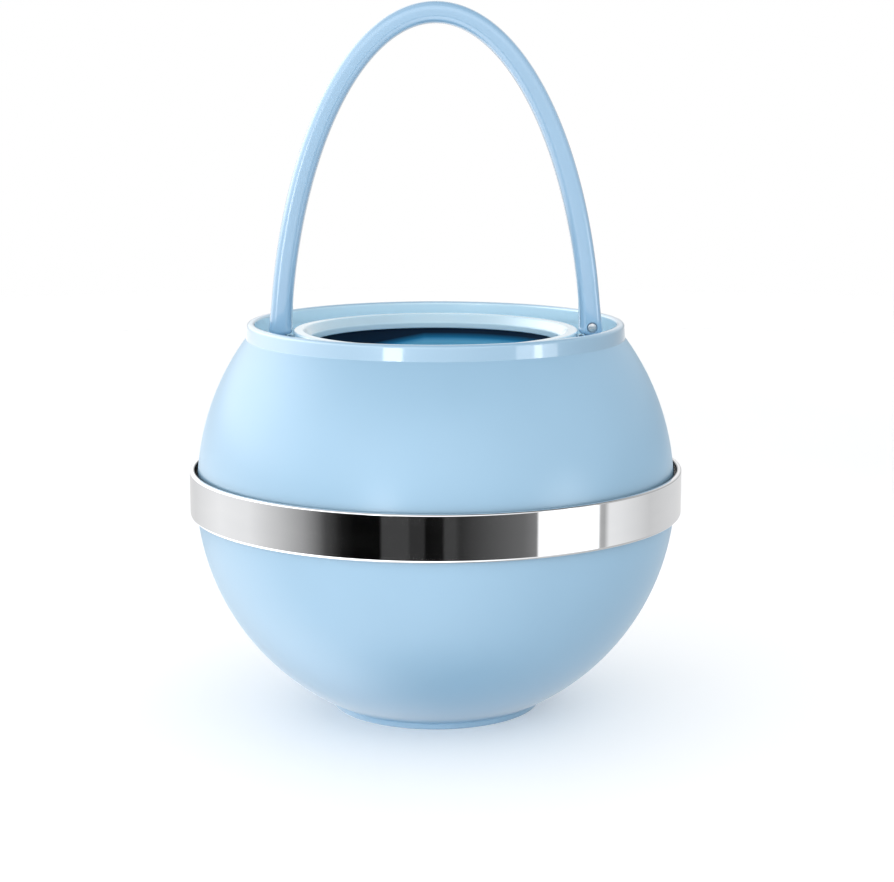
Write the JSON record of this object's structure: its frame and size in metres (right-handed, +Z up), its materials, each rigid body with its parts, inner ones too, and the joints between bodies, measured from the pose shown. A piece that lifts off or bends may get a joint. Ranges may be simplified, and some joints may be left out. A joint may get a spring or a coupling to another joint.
{
  "type": "floating chlorine dispenser",
  "caption": "Round two-shell pool float with a chromed waist band, an open tablet well, a lift-out slotted basket, a flow dial under its foot and a tall arched bail handle.",
  "frame": {"origin": "centre of the foot's resting face", "axes": "+Z up through the mouth, +X through the right end of the handle's hinge, -Y towards the viewer"},
  "size_m": [0.1656, 0.1656, 0.2362],
  "materials": {
    "shell": "satin moulded plastic, pale sky blue",
    "handle": "glossy moulded plastic, pale sky blue",
    "well": "moulded plastic, mid blue",
    "basket": "moulded plastic, mid blue",
    "dial": "moulded plastic, sky blue",
    "band": "mirror chrome plate over moulded plastic",
    "gasket": "matt black rubber",
    "steel": "stainless steel",
    "ballast": "painted cast iron"
  },
  "bodies": {
    "hull": {"lower_shell": "shell", "upper_shell": "shell", "trim_band": "band", "seam_gasket": "gasket", "tablet_well": "well", "neck_gasket": "gasket", "neck_ring": "shell", "base_gasket": "gasket", "base_screw_1": "steel", "base_screw_2": "steel", "base_screw_3": "steel", "base_screw_4": "steel", "ballast_ring": "ballast", "dial_screw": "steel", "dial_washer": "steel", "pivot_pin_right": "steel", "pivot_pin_left": "steel"},
    "bail": {"handle": "handle", "pivot_lug_right": "handle", "lug_screw_right": "steel", "pivot_lug_left": "handle", "lug_screw_left": "steel"},
    "basket": {"tablet_basket": "basket"},
    "dial": {"flow_dial": "dial"}
  },
  "joints": [
    {"name": "handle_swing", "type": "hinge", "parent": "hull", "child": "bail", "pos_m": [0, 0, 0.1238], "axis": [1, 0, 0], "range_deg": [-66, 66]},
    {"name": "basket_lift", "type": "slide", "parent": "hull", "child": "basket", "axis": [0, 0, 1], "range_m": [0, 0.05]},
    {"name": "dial_turn", "type": "hinge", "parent": "hull", "child": "dial", "pos_m": [0, 0, 0.0033], "axis": [0, 0, 1], "range_deg": [0, 30]}
  ]
}
